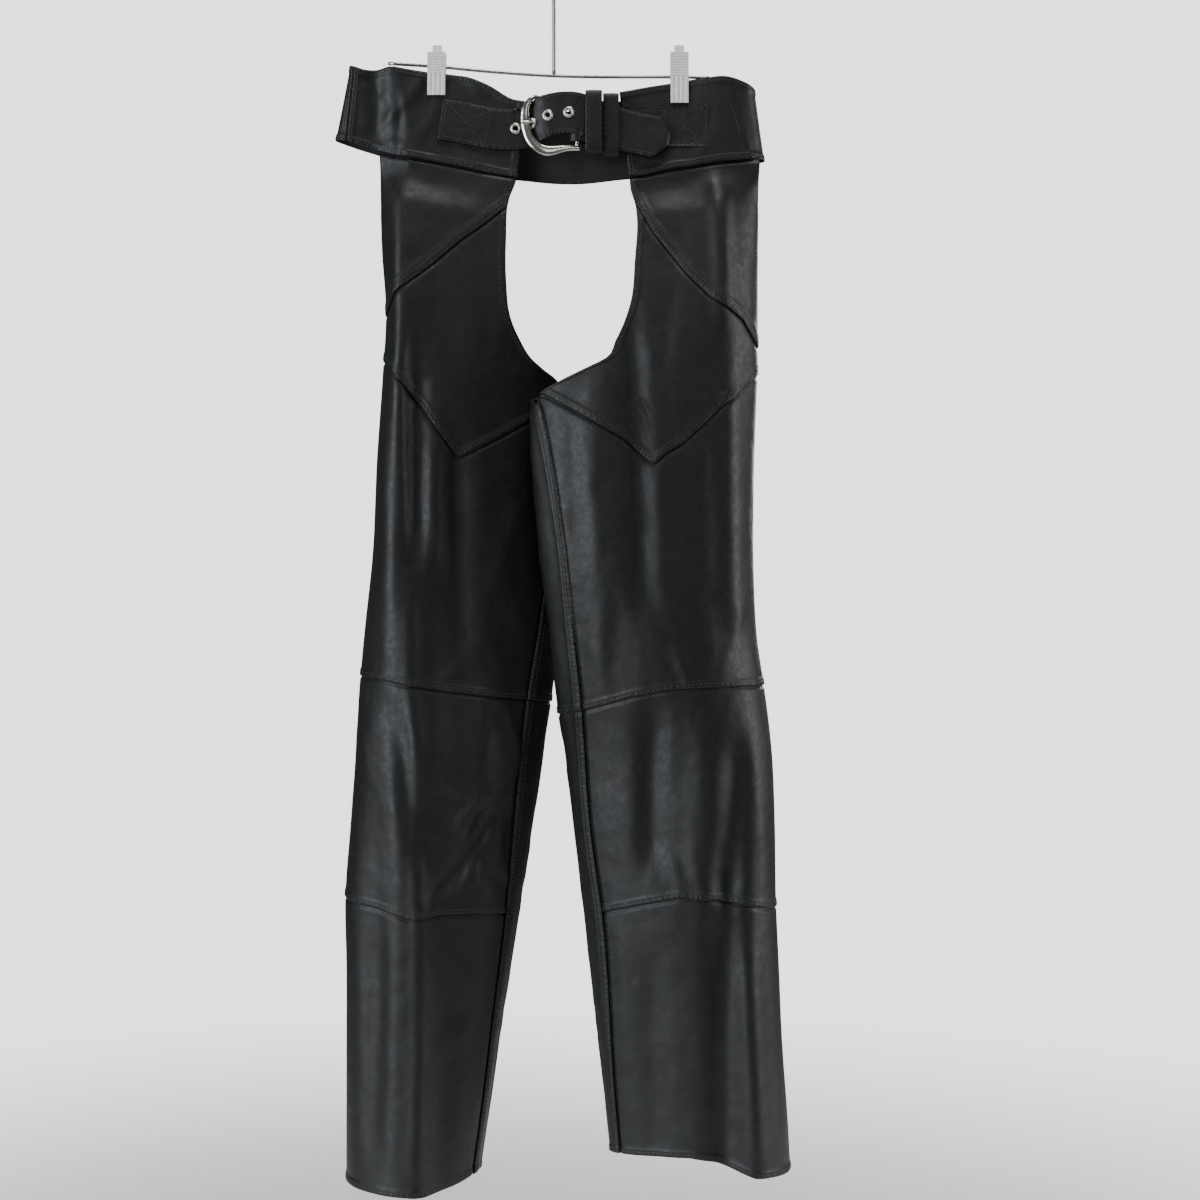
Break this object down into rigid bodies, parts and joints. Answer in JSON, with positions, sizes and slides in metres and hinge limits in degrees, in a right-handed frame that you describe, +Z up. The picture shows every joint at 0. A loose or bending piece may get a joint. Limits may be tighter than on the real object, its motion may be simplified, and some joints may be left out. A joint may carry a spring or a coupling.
{
  "type": "leather chaps on a clip hanger",
  "caption": "Black leather motorcycle chaps with a buckled belt, hung by the yokes from two clips on a wire hanger.",
  "frame": {"origin": "inside top of the hanger's hook, where the hook rests on a rail", "axes": "+Z up, -Y towards the front of the garment with the buckle, +X towards the wearer's left"},
  "size_m": [0.4391, 0.1292, 1.2175],
  "materials": {
    "leather": "satin",
    "nickel": "polished",
    "clip_plastic": "matte",
    "wire": "satin"
  },
  "bodies": {
    "root": {"back_yoke": "leather", "billet": "leather", "buckle_frame": "nickel", "buckle_prong": "nickel", "buckle_strap": "leather", "eyelet_1": "nickel", "eyelet_2": "nickel", "eyelet_3": "nickel", "eyelet_4": "nickel", "hanger_bar": "wire", "hanger_hook": "wire", "keeper_1": "leather", "keeper_2": "leather", "left_back_calf": "leather", "left_back_thigh": "leather", "left_clip_back_jaw": "clip_plastic", "left_clip_front_jaw": "clip_plastic", "left_clip_sleeve": "clip_plastic", "left_front_yoke": "leather", "left_hip_panel": "leather", "left_knee_panel": "leather", "left_lower_thigh_panel": "leather", "left_shin_panel": "leather", "left_thigh_panel": "leather", "right_back_calf": "leather", "right_back_thigh": "leather", "right_clip_back_jaw": "clip_plastic", "right_clip_front_jaw": "clip_plastic", "right_clip_sleeve": "clip_plastic", "right_front_yoke": "leather", "right_hip_panel": "leather", "right_knee_panel": "leather", "right_lower_thigh_panel": "leather", "right_shin_panel": "leather", "right_thigh_panel": "leather"}
  },
  "joints": []
}
